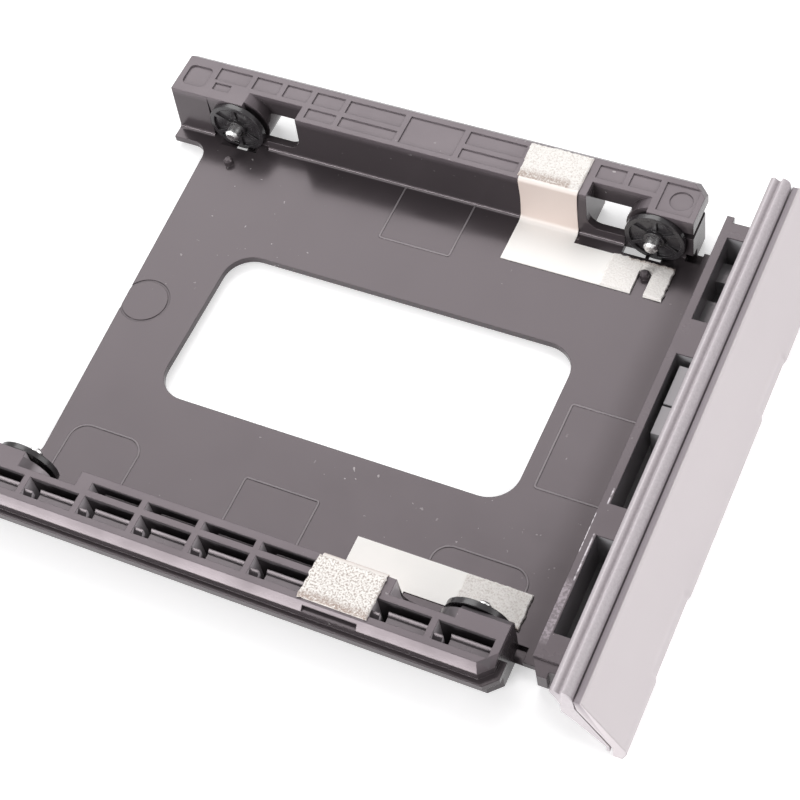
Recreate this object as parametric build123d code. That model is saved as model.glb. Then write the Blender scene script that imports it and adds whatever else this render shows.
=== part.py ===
from build123d import *
import os

# Hard drive caddy for a 2.5 inch drive, in millimetres.
# x runs from the rear pins to the bezel, y across with the far rail at +y, and z up
# from the top of the tray floor. Each side piece is drawn at +y and mirrored for -y.

# fixing pins, which enter the drive's side holes
pin_spacing = 76.6
pin_height = 4.05
pin_radius = 1.22
pin_tip = 0.4
pin_stand = 3.25
pin_head_radius = 1.8
pin_head = 0.7

# tray floor
bay_width = 72.6
floor_thickness = 1.2
strip_width = 2.5
edge_behind_far = 5.5
edge_behind_near = 1.6
edge_radius = 3.0
tongue_reach = 2.4
window_start = 10.05
window_length = 62.1
window_width = 29.75
window_centre = -0.6
window_radius = 5.0
witness_width = 0.3
witness_height = 0.08
field_radius = 2.7
field_sharp = 0.3
field_inset = 11.6
rear_field = (1.0, 13.9)
middle_field = (31.8, 44.9)
front_field = (64.6, 80.3)
tongue_field_start = 74.5
tongue_field = (-11.4, 4.8)
ring_radius = 4.3
ring_depth = 0.12
ring_width = 0.35
peg_radius = 0.8
peg_height = 1.3
peg_bevel = 0.3
peg_inset = 5.1

# side rails
rail_height = 9.3
rail_behind = 12.3
rail_ahead = 6.2
rail_draft = 0.6
rail_width = 9.65
rail_bevel = 1.2
rail_corner = 1.9
lip_height = 5.3
lip_thickness = 1.2
lip_overhang = 0.9
lip_return = 3.8
lip_short = 2.4
foot_setback = 1.5
foot_cove = 0.6
side_wall = 1.15
inner_wall = 0.9
rib = 1.05

# notches beside the pins
boss_radius = 5.5
notch_start = 1.65
notch_end = 11.9
notch_sill = 2.0
notch_radius = 2.4
notch_depth_far = 3.7
notch_depth_near = 3.2

# shallow panels on the far rail, between the ribs listed by their centres
panel_depth = 0.25
panel_skin = 1.1
panel_inset = 1.0
panel_row = 1.05
panel_end = 5.7
small_panel = (-5.2, -2.1)
small_panel_width = 1.5
small_panel_lead = 0.4
panel_ribs = [0.95, 6.85, 12.6, 18.95, 30.3, 41.2, 52.4, 64.2, 69.85, 75.6]
end_pad = 4.4
end_pad_radius = 1.0
end_pad_depth = 0.3
panel_merged = 4
panel_taped = 6
mark_radius = 1.87
mark_depth = 0.2
mark_setback = 3.35

# deep cells in the near rail, with their ledges
cell_pitch = 9.75
cell_start = 4.65
cell_first = -1
cell_count = 9
cell_taped = 5
cell_inner = [1, 2, 3, 4]
cell_inner_wall = 1.25
cell_floor = 1.7
ledge_start = 2.5
ledge_drop = 0.9
ledge_flat = 1.2
ledge_rise = 0.65
corner_ramp = 1.15
corner_ramp_length = 1.5
inner_ledge = 0.3
end_bevel = 1.0
slot_height = 0.7
slot_depth = 1.4

# rubber grommets
grommet_radius = 5.14
grommet_flange = 0.95
grommet_rim = 0.8
grommet_dish = 0.45
grommet_hub = 0.3
grommet_hub_radius = 1.8
grommet_neck_radius = 3.0
grommet_back_radius = 4.0
grommet_back = 1.0
gusset_count = 6
gusset_width = 0.75
seat_clearance = 0.2
seat_slot = 1.55
seat_open = 1.6

# front wall of the tray
wall_gap = 4.3
wall_height = 8.6
wall_reach_far = 3.3
wall_reach_near = 4.4
wall_thickness = 6.3
pocket_rim = 1.4
pocket_length = 3.6
pocket_floor = 0.4
pocket_spans = [(20.1, 36.6), (-14.5, 13.35), (-36.5, -20.0)]
pocket_steps = [(20.1, 27.3), (31.2, 35.0)]
step_top = 4.0
ledge_spans = [(-0.7, 4.4), (4.8, 12.0)]
ledge_top = 7.6
ledge_channel = 1.0
ear_length = 1.2
ear_reach = 1.1
prong_reach = 2.5
prong_foot = 5.0
prong_height = 8.2
prong_width = 1.5
foot_hole_length = 2.5
foot_hole_depth = 0.9

# earthing tapes and their textured pads
tape_start = 53.0
tape_width = 10.3
tape_thickness = 0.2
tape_top_width = 7.5
tape_floor_width = 9.0
tape_end = 80.8
tape_end_width = 6.6
near_floor_width = 8.0
near_end = 81.6
near_end_width = 6.1
pad_thickness = 0.35
pad_overlap = 0.9
rail_pad_length = 11.2
floor_pad_length = 10.6
peg_clearance = 0.3

# bezel: a carrier frame behind a sloping cover
bezel_inset = 0.35
face_offset = 2.5
face_top = 9.4
face_foot = 0.6
face_run = 4.9
cover_thickness = 2.15
cover_top = 11.9
cover_foot = 0.4
cover_bottom = 2.2
cover_round = 0.7
cover_base_round = 1.2
frame_top = 12.5
frame_lead = 1.4
frame_ridge = 1.0
frame_ridge_width = 2.1
frame_lip_width = 0.5
frame_lip = 0.6
frame_seat = 6.9
frame_blade = 0.9
frame_bottom = 1.3

fit = 0.05
beyond = 1.0

# places that follow from the sizes above
bay_edge = bay_width / 2
top_edge = bay_edge + rail_draft
rail_span = (-rail_behind, pin_spacing + rail_ahead)
rail_outer = bay_edge + rail_width
top_outer = rail_outer - rail_bevel
foot_outer = rail_outer - foot_setback
core_outer = foot_outer - side_wall
core_inner = top_edge + inner_wall
peg_side = bay_edge - peg_inset
tongue_edge = bay_edge + tongue_reach
lip_top = lip_height + lip_thickness
wall_rear = rail_span[1] + wall_gap
wall_front = wall_rear + wall_thickness
tape_top = rail_height + tape_thickness
lip_outer = rail_outer + lip_overhang
bezel_edge = lip_outer - bezel_inset


def block(x, y, z):
    size = Box(x[1] - x[0], y[1] - y[0], z[1] - z[0])
    return Pos((x[0] + x[1]) / 2, (y[0] + y[1]) / 2, (z[0] + z[1]) / 2) * size


def along_x(profile, x):
    outline = Polyline(*[(x[0], y, z) for y, z in profile], close=True)
    return extrude(make_face(outline), x[1] - x[0], dir=(1, 0, 0))


def along_y(profile, y):
    outline = Polyline(*[(x, y[0], z) for x, z in profile], close=True)
    return extrude(make_face(outline), y[1] - y[0], dir=(0, 1, 0))


def along_z(profile, z):
    outline = Polyline(*[(x, y, z[0]) for x, y in profile], close=True)
    return extrude(make_face(outline), z[1] - z[0], dir=(0, 0, 1))


def rounded(x, y, z, radius):
    solid = block(x, y, z)
    return fillet(solid.edges().filter_by(Axis.Z), radius)


def turned(x, profile):
    # a solid of revolution on a pin's axis, from a profile of (radius, y)
    outline = Polyline(*[(x + r, y, pin_height) for r, y in profile], close=True)
    return revolve(make_face(outline), Axis((x, 0, pin_height), (0, 1, 0)))


def disc(x, radius, y):
    return turned(x, [(0, y[0]), (radius, y[0]), (radius, y[1]), (0, y[1])])


def near(solid):
    return mirror(solid, Plane.XZ)


def inner_face(z):
    # the drafted inner face of a rail
    return bay_edge + rail_draft * z / rail_height


def floor_plate():
    strip_edge = bay_edge - strip_width
    corners = [(-edge_behind_far, strip_edge), (-edge_behind_near, -strip_edge)]
    outline = [
        (rail_span[0], bay_edge),
        (rail_span[0], strip_edge),
        corners[0],
        corners[1],
        (rail_span[0], -strip_edge),
        (rail_span[0], -bay_edge),
        (rail_span[1], -bay_edge),
        (rail_span[1], -tongue_edge),
        (wall_rear, -tongue_edge),
        (wall_rear, tongue_edge),
        (rail_span[1], tongue_edge),
        (rail_span[1], bay_edge),
    ]
    plate = along_z(outline, (-floor_thickness, 0))
    for x, y in corners:
        edge = plate.edges().filter_by(Axis.Z).sort_by_distance((x, y, 0))[0]
        plate = fillet(edge, edge_radius)
    across = (window_centre - window_width / 2, window_centre + window_width / 2)
    through = (-floor_thickness - beyond, beyond)
    plate -= rounded((window_start, window_start + window_length), across, through, window_radius)
    return plate


def witness(x, y, radius):
    # the thin raised outline that a mould insert leaves on the floor
    inside = [(low + witness_width, high - witness_width) for low, high in (x, y)]
    hollow = rounded(*inside, (-beyond, beyond), radius)
    return rounded(x, y, (-fit, witness_height), radius + witness_width) - hollow


def floor_marks():
    side = (bay_edge - field_inset, bay_edge)
    middle = witness(middle_field, side, field_sharp)
    marks = middle + near(middle)
    for field in (rear_field, front_field):
        marks += near(witness(field, side, field_radius))
    taped = (bay_edge - near_floor_width - fit, bay_edge)
    marks -= near(block((tape_start, near_end), taped, (0, beyond)))
    return marks + witness((tongue_field_start, wall_rear), tongue_field, field_sharp)


def ejector_ring():
    return Cylinder(ring_radius, 2 * ring_depth) - Cylinder(ring_radius - ring_width, 2 * ring_depth)


def rail_plan(outer, front):
    return [
        (rail_span[0], bay_edge),
        (front, bay_edge),
        (front, outer - rail_corner),
        (front - rail_corner, outer),
        (rail_span[0], outer),
    ]


def rail_blank(lip_end):
    # the lip stops at lip_end, and one past the rail's front end wraps round its corner
    head = along_z(rail_plan(rail_outer, rail_span[1]), (lip_top, rail_height))
    top = head.faces().sort_by(Axis.Z)[-1]
    rim = top.edges().filter_by(lambda edge: edge.center().Y > rail_outer - rail_corner)
    head = chamfer(rim, rail_bevel)
    lip = along_z(rail_plan(lip_outer, lip_end), (lip_height, lip_top))
    ahead = (rail_span[1], rail_span[1] + lip_overhang + beyond)
    lip -= block(ahead, (bay_edge - beyond, rail_outer - lip_return), (lip_height, lip_top))
    foot = along_z(rail_plan(foot_outer, rail_span[1]), (-floor_thickness, lip_height))
    draft = [(bay_edge, 0), (inner_face(2 * rail_height), 2 * rail_height)]
    draft += [(bay_edge - beyond, 2 * rail_height), (bay_edge - beyond, 0)]
    everywhere = (rail_span[0] - beyond, rail_span[1] + lip_overhang + beyond)
    return head + lip + foot - along_x(draft, everywhere) + cove()


def cove():
    # the hollow fillet where a rail's inner face meets the floor
    centre = inner_face(foot_cove) - foot_cove
    corner = block(rail_span, (centre, inner_face(foot_cove) + fit), (-fit, foot_cove))
    length = rail_span[1] - rail_span[0] + 2 * beyond
    middle = (rail_span[0] + rail_span[1]) / 2
    return corner - Pos(middle, centre, foot_cove) * Rot(0, 90, 0) * Cylinder(foot_cove, length)


def notch(x, inward, depth, cavity_outer, cavity_top):
    # open from the top down to a sill, and ending at the round boss behind the grommet
    outer = bay_edge + depth
    ends = sorted((x + inward * notch_start, x + inward * notch_end))
    behind = sorted((x, x + inward * notch_end))
    cut = block(behind, (core_inner, outer), (notch_sill, rail_height + beyond))
    cut += block(ends, (bay_edge - beyond, core_inner), (notch_sill, rail_height + beyond))
    low = cut.edges().filter_by(Axis.Y).group_by(Axis.Z)[0].sort_by(Axis.X)
    cut = fillet(low[-1] if inward > 0 else low[0], notch_radius)
    cut += block(behind, (core_inner, outer), (-floor_thickness - beyond, notch_sill + notch_radius))
    cut += block(behind, (core_inner, cavity_outer), (-floor_thickness - beyond, cavity_top))
    return cut - disc(x, boss_radius, (core_inner, cavity_outer + beyond))


def grommet_seat(x):
    # the flat, the bore and the pocket that hold a rubber grommet and the pin's head
    side = grommet_radius + seat_clearance
    ahead = rail_span[1] + beyond if x else side
    seat = block((x - side, ahead), (bay_edge - beyond, top_edge), (0, rail_height + beyond))
    slot = (bay_edge - seat_slot, top_edge)
    seat += disc(x, side, slot)
    if x:
        seat += block((x - side, x - seat_open), slot, (-floor_thickness - beyond, fit))
    bore = disc(x, grommet_neck_radius + fit, (bay_edge - beyond, core_inner + fit))
    pocket = disc(x, grommet_back_radius + fit, (core_inner, core_inner + grommet_back + fit))
    head = disc(x, pin_head_radius + fit, (core_inner, core_inner + grommet_back + pin_head + 2 * fit))
    return seat + bore + pocket + head


def far_rail():
    rail = rail_blank(rail_span[1] - lip_short)
    row = bay_edge + notch_depth_far
    core_top = rail_height - panel_depth - panel_skin
    sunk = (rail_height - panel_depth, rail_height + beyond)
    outer_row = (row + panel_row, top_outer - panel_inset)
    inner_row = (top_edge + panel_inset, row)
    full_row = (inner_row[0], outer_row[1])
    notch_ends = [(notch_start, notch_end), (pin_spacing - notch_end, pin_spacing - notch_start)]
    rail -= block((-panel_end, panel_ribs[0] - rib / 2), outer_row, sunk)
    rail -= block((panel_ribs[-1] + rib / 2, rail_span[1] - panel_inset), full_row, sunk)
    small_outer = row + small_panel_lead
    rail -= block(small_panel, (small_outer - small_panel_width, small_outer), sunk)
    for number, (start, end) in enumerate(zip(panel_ribs, panel_ribs[1:])):
        span = (start + rib / 2, end - rib / 2)
        clear = all(span[1] < low or span[0] > high - rib for low, high in notch_ends)
        if clear:
            rail -= block(span, (core_inner, core_outer), (-floor_thickness - beyond, core_top))
        if number == panel_taped:
            continue
        rail -= block(span, full_row if number == panel_merged else outer_row, sunk)
        if clear:
            rail -= block(span, inner_row, sunk)
    pad = (rail_span[0] + rib, rail_span[0] + rib + end_pad)
    middle = (top_edge + top_outer) / 2
    across = (middle - end_pad / 2, middle + end_pad / 2)
    rail -= rounded(pad, across, (rail_height - end_pad_depth, rail_height + beyond), end_pad_radius)
    mark = Pos(rail_span[1] - mark_setback, middle, rail_height - panel_depth)
    rail -= mark * Cylinder(mark_radius, 2 * mark_depth)
    rail -= notch(0, 1, notch_depth_far, foot_outer + beyond, lip_height)
    rail -= notch(pin_spacing, -1, notch_depth_far, foot_outer + beyond, lip_height)
    return rail


def near_cell(start, length, y, ledge):
    cell = block((start, start + length), y, (cell_floor, rail_height + beyond))
    low = rail_height - ledge_drop
    flat = y[1] - ledge_flat * ledge
    inner = flat - ledge_rise * ledge
    profile = [(y[1], cell_floor), (y[1], low), (flat, low)]
    profile += [(inner, low + ledge_rise * ledge), (inner, cell_floor)]
    cell -= along_x(profile, (start + ledge_start, start + length))
    return cell


def corner_block(start, outer):
    inner = outer - corner_ramp
    profile = [(outer, cell_floor), (outer, rail_height - corner_ramp)]
    profile += [(inner, rail_height - fit), (inner, cell_floor)]
    return along_x(profile, (start, start + corner_ramp_length))


def near_rail():
    rail = rail_blank(rail_span[1] + lip_overhang)
    row = bay_edge + notch_depth_near
    length = cell_pitch - rib
    outer_row = (row + rib, top_outer - rib)
    for number in range(cell_first, cell_first + cell_count):
        start = cell_start + number * cell_pitch
        if number == cell_taped:
            low = rail_height - rail_bevel
            across = (rail_outer - slot_depth, rail_outer + beyond)
            rail -= block((start, start + length), across, (low, low + slot_height))
            continue
        rail -= near_cell(start, length, outer_row, 1)
        rail += corner_block(start, outer_row[1])
        if number in cell_inner:
            rail -= near_cell(start, length, (top_edge + cell_inner_wall, row), inner_ledge)
    level = rail_height + fit
    bevel = [(top_edge - fit, rail_height - end_bevel), (top_edge - fit, level)]
    bevel += [(top_edge + end_bevel, level)]
    rail -= along_x(bevel, (pin_spacing - notch_start, rail_span[1]))
    rail -= notch(0, 1, notch_depth_near, row, notch_sill)
    rail -= notch(pin_spacing, -1, notch_depth_near, row, notch_sill)
    return near(rail)


def face_x(z):
    # the sloping plane between the bezel's frame and its cover
    return wall_front + face_offset + (face_top - z) * face_run / (face_top - face_foot)


def front_wall():
    far_end = bay_edge + wall_reach_far
    near_end_edge = bay_edge + wall_reach_near
    across = (-near_end_edge, far_end)
    wall = block((wall_rear, wall_front), across, (-floor_thickness, wall_height))
    pockets = (wall_rear + pocket_rim, wall_rear + pocket_rim + pocket_length)
    for low, high in pocket_spans:
        wall -= block(pockets, (low, high), (pocket_floor, wall_height + beyond))
    for span in pocket_steps:
        wall += block(pockets, span, (0, step_top))
    for span in ledge_spans:
        wall += block((pockets[0] + ledge_channel, pockets[1]), span, (0, ledge_top))
    ear = (far_end - fit, far_end + ear_reach)
    wall += block((wall_rear, wall_rear + ear_length), ear, (-floor_thickness, wall_height))
    foot = face_x(face_foot) - frame_blade
    wall += block((wall_front, foot), across, (-floor_thickness, 0))
    hook = [
        (wall_rear, near_end_edge),
        (wall_rear + prong_width, near_end_edge + prong_reach),
        (wall_rear + 2 * prong_width, near_end_edge + prong_reach),
        (wall_rear + 2 * prong_width, near_end_edge + prong_width),
        (wall_front, near_end_edge + prong_width / 2),
        (wall_front, near_end_edge),
    ]
    return wall + near(along_z(hook, (prong_foot, prong_height)))


def peg():
    stem = Cylinder(peg_radius, peg_height + fit, align=(Align.CENTER, Align.CENTER, Align.MIN))
    return Pos(0, 0, -fit) * chamfer(stem.edges().sort_by(Axis.Z)[-1], peg_bevel)


def tray():
    body = floor_plate() + floor_marks() - ejector_ring()
    body += far_rail() + near_rail() + front_wall()
    for x in (0, pin_spacing):
        body += Pos(x, peg_side, 0) * peg()
        seat = grommet_seat(x)
        body -= seat + near(seat)
    hole_end = rail_span[1] + foot_hole_length / 2
    hole = block((hole_end - foot_hole_length, hole_end), (bay_edge, tongue_edge), (-foot_hole_depth, beyond))
    return body - hole - near(hole)


def grommet(x):
    back = top_edge - fit
    front = back - grommet_flange
    dish = front + grommet_dish
    hub_front = front - grommet_hub
    rim = grommet_radius - grommet_rim
    bore = pin_radius + fit
    behind = core_inner + fit
    profile = [
        (bore, hub_front),
        (grommet_hub_radius, hub_front),
        (grommet_hub_radius + fit, dish),
        (rim, dish),
        (rim, front),
        (grommet_radius, front),
        (grommet_radius, back),
        (grommet_neck_radius, back),
        (grommet_neck_radius, behind),
        (grommet_back_radius, behind),
        (grommet_back_radius, behind + grommet_back - fit),
        (bore, behind + grommet_back - fit),
    ]
    body = turned(x, profile)
    web = [(grommet_hub_radius - fit, hub_front + grommet_dish), (rim + fit, front), (rim + fit, back)]
    web += [(grommet_hub_radius - fit, back)]
    outline = Polyline(*[(x + r, y, pin_height) for r, y in web], close=True)
    gusset = extrude(make_face(outline), gusset_width / 2, both=True)
    axis = Axis((x, 0, pin_height), (0, 1, 0))
    for number in range(gusset_count):
        body += gusset.rotate(axis, (number + 0.5) * 360 / gusset_count)
    return body


def pin(x):
    tip = top_edge - pin_stand
    head = core_inner + grommet_back + fit
    solid = turned(x, [
        (0, tip),
        (pin_radius, tip),
        (pin_radius, head),
        (pin_head_radius, head),
        (pin_head_radius, head + pin_head),
        (0, head + pin_head),
    ])
    return chamfer(solid.edges().sort_by(Axis.Y)[0], pin_tip)


def peg_slot():
    # the open slot in a tape's end that clears the peg beside the front pin
    half = peg_radius + peg_clearance
    x = (pin_spacing - half, pin_spacing + half)
    reach = peg_side + half
    return rounded(x, (bay_edge - tape_floor_width - 2 * half, reach), (-beyond, beyond), half - fit)


def tape(floor_width, end, end_width):
    # one strip across the rail's top, down its inner face, past the cove and along the floor
    top = top_edge + tape_top_width
    inner = bay_edge - floor_width
    foot = inner_face(foot_cove)
    profile = [(inner, 0), (foot - foot_cove, 0), (foot, foot_cove), (top_edge, rail_height)]
    profile += [(top, rail_height), (top, tape_top), (top_edge - tape_thickness, tape_top)]
    profile += [(foot - tape_thickness, foot_cove), (foot - foot_cove, tape_thickness)]
    profile += [(inner, tape_thickness)]
    strip = along_x(profile, (tape_start, tape_start + tape_width))
    across = (inner, inner + end_width)
    strip += block((tape_start + tape_width - fit, end), across, (0, tape_thickness))
    return strip


def rail_pad():
    start = tape_start - pad_overlap
    across = (top_edge, top_edge + tape_top_width)
    return block((start, start + rail_pad_length), across, (tape_top, tape_top + pad_thickness))


def floor_pad(floor_width, end, end_width):
    inner = bay_edge - floor_width
    span = (end - floor_pad_length, end)
    across = (inner, inner + end_width)
    return block(span, across, (tape_thickness, tape_thickness + pad_thickness))


def across_bezel(profile):
    return along_y(profile, (-bezel_edge, bezel_edge))


def bezel_frame():
    front = wall_front + face_offset
    rear = wall_front - frame_lead
    foot = face_x(face_foot)
    ridge_rear = front - frame_ridge_width
    profile = [
        (rear, frame_top),
        (rear, frame_top + frame_lip),
        (rear + frame_lip_width, frame_top + frame_lip),
        (ridge_rear - frame_lip_width, frame_top - frame_lip / 2),
        (ridge_rear, frame_top),
        (ridge_rear + frame_lip_width, frame_top + frame_ridge),
        (front - frame_lip_width, frame_top + frame_ridge / 2),
        (front - frame_lip_width / 2, cover_top),
        (front, face_top),
        (foot, face_foot),
        (foot, -frame_bottom),
        (foot - frame_blade, -frame_bottom),
        (foot - frame_blade, 0),
        (face_x(frame_seat) - 2 * frame_blade, frame_seat - 2 * frame_blade),
        (wall_front, frame_seat),
        (wall_front, face_top),
    ]
    return across_bezel(profile)


def bezel_cover():
    front = wall_front + face_offset
    foot = face_x(face_foot)
    top_front = face_x(cover_top) + cover_thickness
    base_front = face_x(cover_foot) + cover_thickness
    profile = [
        (front - fit, cover_top),
        (top_front, cover_top),
        (base_front, cover_foot),
        (base_front - frame_blade, -cover_bottom),
        (foot, -cover_bottom),
        (foot, face_foot),
        (front, face_top),
    ]
    cover = across_bezel(profile)
    for x, z, radius in ((top_front, cover_top, cover_round), (base_front, cover_foot, cover_base_round)):
        lengthwise = cover.edges().filter_by(Axis.Y)
        cover = fillet(lengthwise.sort_by_distance((x, 0, z))[0], radius)
    return cover


def pieces():
    made = {"tray": tray(), "bezel_frame": bezel_frame(), "bezel_cover": bezel_cover()}
    for end, x in (("rear", 0), ("front", pin_spacing)):
        made[f"grommet_{end}_far"] = grommet(x)
        made[f"grommet_{end}_near"] = near(grommet(x))
        made[f"pin_{end}_far"] = pin(x)
        made[f"pin_{end}_near"] = near(pin(x))
    far_tape = (tape_floor_width, tape_end, tape_end_width)
    near_tape = (near_floor_width, near_end, near_end_width)
    made["earth_tape_far"] = tape(*far_tape) - peg_slot()
    made["earth_tape_near"] = near(tape(*near_tape))
    made["rail_pad_far"] = rail_pad()
    made["rail_pad_near"] = near(rail_pad())
    made["floor_pad_far"] = floor_pad(*far_tape) - peg_slot()
    made["floor_pad_near"] = near(floor_pad(*near_tape))
    return made


def export():
    os.makedirs("parts", exist_ok=True)
    made = pieces()
    box = Compound(children=[Part() + solid for solid in made.values()]).bounding_box()
    centre = box.center()
    home = Pos(-centre.X, -centre.Y, -box.min.Z)
    print("origin stands at", round(centre.X, 3), round(centre.Y, 3), round(box.min.Z, 3))
    print("size", [round(side, 2) for side in box.size])
    for name, solid in made.items():
        export_step(home * solid, f"parts/{name}.step")


export()
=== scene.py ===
# Hard drive caddy dressed for its studio view, in metres
import bpy
import bmesh
import numpy as np
from mathutils import Matrix, Vector


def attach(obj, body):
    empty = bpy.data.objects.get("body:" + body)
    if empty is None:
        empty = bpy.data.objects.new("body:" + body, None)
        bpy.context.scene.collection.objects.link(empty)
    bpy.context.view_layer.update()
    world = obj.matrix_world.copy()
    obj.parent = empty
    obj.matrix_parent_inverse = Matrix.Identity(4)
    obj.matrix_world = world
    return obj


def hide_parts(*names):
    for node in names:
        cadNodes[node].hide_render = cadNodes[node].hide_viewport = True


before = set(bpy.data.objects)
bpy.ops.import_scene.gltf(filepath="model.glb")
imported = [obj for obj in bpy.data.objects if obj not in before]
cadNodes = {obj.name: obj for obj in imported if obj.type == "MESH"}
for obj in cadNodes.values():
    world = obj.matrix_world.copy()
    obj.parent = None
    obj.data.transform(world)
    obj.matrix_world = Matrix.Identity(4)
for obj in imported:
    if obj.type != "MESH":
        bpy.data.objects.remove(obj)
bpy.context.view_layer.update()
scene = bpy.context.scene
print("caddy: frame loaded with", len(cadNodes), "pieces")

# camera at the photograph's place, found from the tray's straight edges
cameraView = {
    "place": (0.100604, -0.13963, 0.24877),
    "right": (0.90298, 0.40956, -0.12996),
    "up": (-0.27976, 0.78994, 0.54564),
    "back": (0.32613, -0.45634, 0.82788),
    "lens": 85.16,
    "sensor": 36.0,
    "nearest": 0.005,
    "farthest": 20,
}


def makeCamera(values):
    # the camera's own right, up and back are the columns of its turn
    lens = bpy.data.cameras.new("caddyCamera")
    lens.lens = values["lens"]
    lens.sensor_width = values["sensor"]
    lens.clip_start = values["nearest"]
    lens.clip_end = values["farthest"]
    camera = bpy.data.objects.new("caddyCamera", lens)
    turn = Matrix((values["right"], values["up"], values["back"])).transposed().to_4x4()
    camera.matrix_world = Matrix.Translation(values["place"]) @ turn
    scene.collection.objects.link(camera)
    scene.camera = camera


makeCamera(cameraView)
print("caddy: camera set")

# studio: a pale table, a pale room and large soft boxes; strengths are what a mirror would show
studio = {
    "table": (0.86, 0.855, 0.86),
    "tableGlow": 0.46,
    "tableSide": 0.6,
    "white": (1, 1, 1, 1),
    "room": 0.22,
    "roomGloss": 0.8,
    "boxes": {
        "overBack": {"towards": (-0.37, 0.527, 0.766), "away": 0.9, "size": (0.78, 0.60), "radiance": 4.0},
        "frontLow": {"towards": (-0.383, -0.861, 0.334), "away": 0.9, "size": (0.62, 0.20), "radiance": 18.0},
        "rightSide": {"towards": (0.90, 0.05, 0.42), "away": 0.9, "size": (0.5, 0.7), "radiance": 4.3},
    },
}


def addNode(tree, kind, **inputs):
    # a shader node with the named inputs set
    made = tree.nodes.new("ShaderNode" + kind)
    for name, value in inputs.items():
        made.inputs[name].default_value = value
    return made


def linkChain(tree, pairs):
    for source, target in pairs:
        tree.links.new(source, target)


def seenBy(tree, rayKinds):
    # one for a ray of any of the kinds: the largest of their marks
    rays = addNode(tree, "LightPath")
    found = rays.outputs[rayKinds[0]]
    for kind in rayKinds[1:]:
        larger = addNode(tree, "Math")
        larger.operation = "MAXIMUM"
        linkChain(tree, [(found, larger.inputs[0]), (rays.outputs[kind], larger.inputs[1])])
        found = larger.outputs[0]
    return found


def makeTable(values):
    # a matte square, whose glow shows to the camera and in mirrors but lights nothing
    mesh = bpy.data.meshes.new("table")
    side = values["tableSide"]
    corners = [(-side, -side, 0), (side, -side, 0), (side, side, 0), (-side, side, 0)]
    mesh.from_pydata(corners, [], [(0, 1, 2, 3)])
    table = bpy.data.objects.new("table", mesh)
    scene.collection.objects.link(table)
    paper = bpy.data.materials.new("tablePaper")
    paper.use_nodes = True
    tree = paper.node_tree
    tree.nodes.clear()
    out = addNode(tree, "OutputMaterial")
    matte = addNode(tree, "BsdfDiffuse", Color=(*values["table"], 1))
    glow = addNode(tree, "Emission", Strength=values["tableGlow"])
    nothing = addNode(tree, "Emission", Strength=0)
    pick = addNode(tree, "MixShader")
    both = addNode(tree, "AddShader")
    linkChain(tree, [
        (seenBy(tree, ["Is Camera Ray", "Is Glossy Ray", "Is Transmission Ray"]), pick.inputs[0]),
        (nothing.outputs[0], pick.inputs[1]),
        (glow.outputs[0], pick.inputs[2]),
        (pick.outputs[0], both.inputs[0]),
        (matte.outputs[0], both.inputs[1]),
        (both.outputs[0], out.inputs["Surface"]),
    ])
    mesh.materials.append(paper)


def makeRoom(values):
    # white to the camera, pale in mirrors, and a dim fill for everything else
    room = bpy.data.worlds.new("paleRoom")
    room.use_nodes = True
    scene.world = room
    tree = room.node_tree
    tree.nodes.clear()
    out = addNode(tree, "OutputWorld")
    fill = addNode(tree, "Background", Color=values["white"], Strength=values["room"])
    gloss = addNode(tree, "Background", Color=values["white"], Strength=values["roomGloss"])
    white = addNode(tree, "Background", Color=values["white"], Strength=1.0)
    mirrored = addNode(tree, "MixShader")
    seen = addNode(tree, "MixShader")
    linkChain(tree, [
        (seenBy(tree, ["Is Glossy Ray", "Is Transmission Ray"]), mirrored.inputs[0]),
        (fill.outputs[0], mirrored.inputs[1]),
        (gloss.outputs[0], mirrored.inputs[2]),
        (seenBy(tree, ["Is Camera Ray"]), seen.inputs[0]),
        (mirrored.outputs[0], seen.inputs[1]),
        (white.outputs[0], seen.inputs[2]),
        (seen.outputs[0], out.inputs["Surface"]),
    ])


def softBox(name, values):
    # a lamp's power is its radiance times its area times pi
    lamp = bpy.data.lights.new(name, "AREA")
    lamp.shape = "RECTANGLE"
    lamp.size, lamp.size_y = values["size"]
    lamp.energy = values["radiance"] * values["size"][0] * values["size"][1] * np.pi
    box = bpy.data.objects.new(name, lamp)
    towards = Vector(values["towards"]).normalized()
    box.location = towards * values["away"]
    box.rotation_mode = "QUATERNION"
    box.rotation_quaternion = towards.to_track_quat("Z", "Y")
    box.visible_camera = False
    scene.collection.objects.link(box)


makeTable(studio)
makeRoom(studio)
for boxName, boxValues in studio["boxes"].items():
    softBox(boxName, boxValues)
scene.view_settings.view_transform = "Standard"
print("caddy: studio lit")

# finishes, all on Object coordinates in metres
noiseSpan = (0.3, 0.7)  # where most of a noise's values lie
facingSpan = (0.6, 0.9)  # a normal's share along an axis, from turned away to facing it


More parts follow.
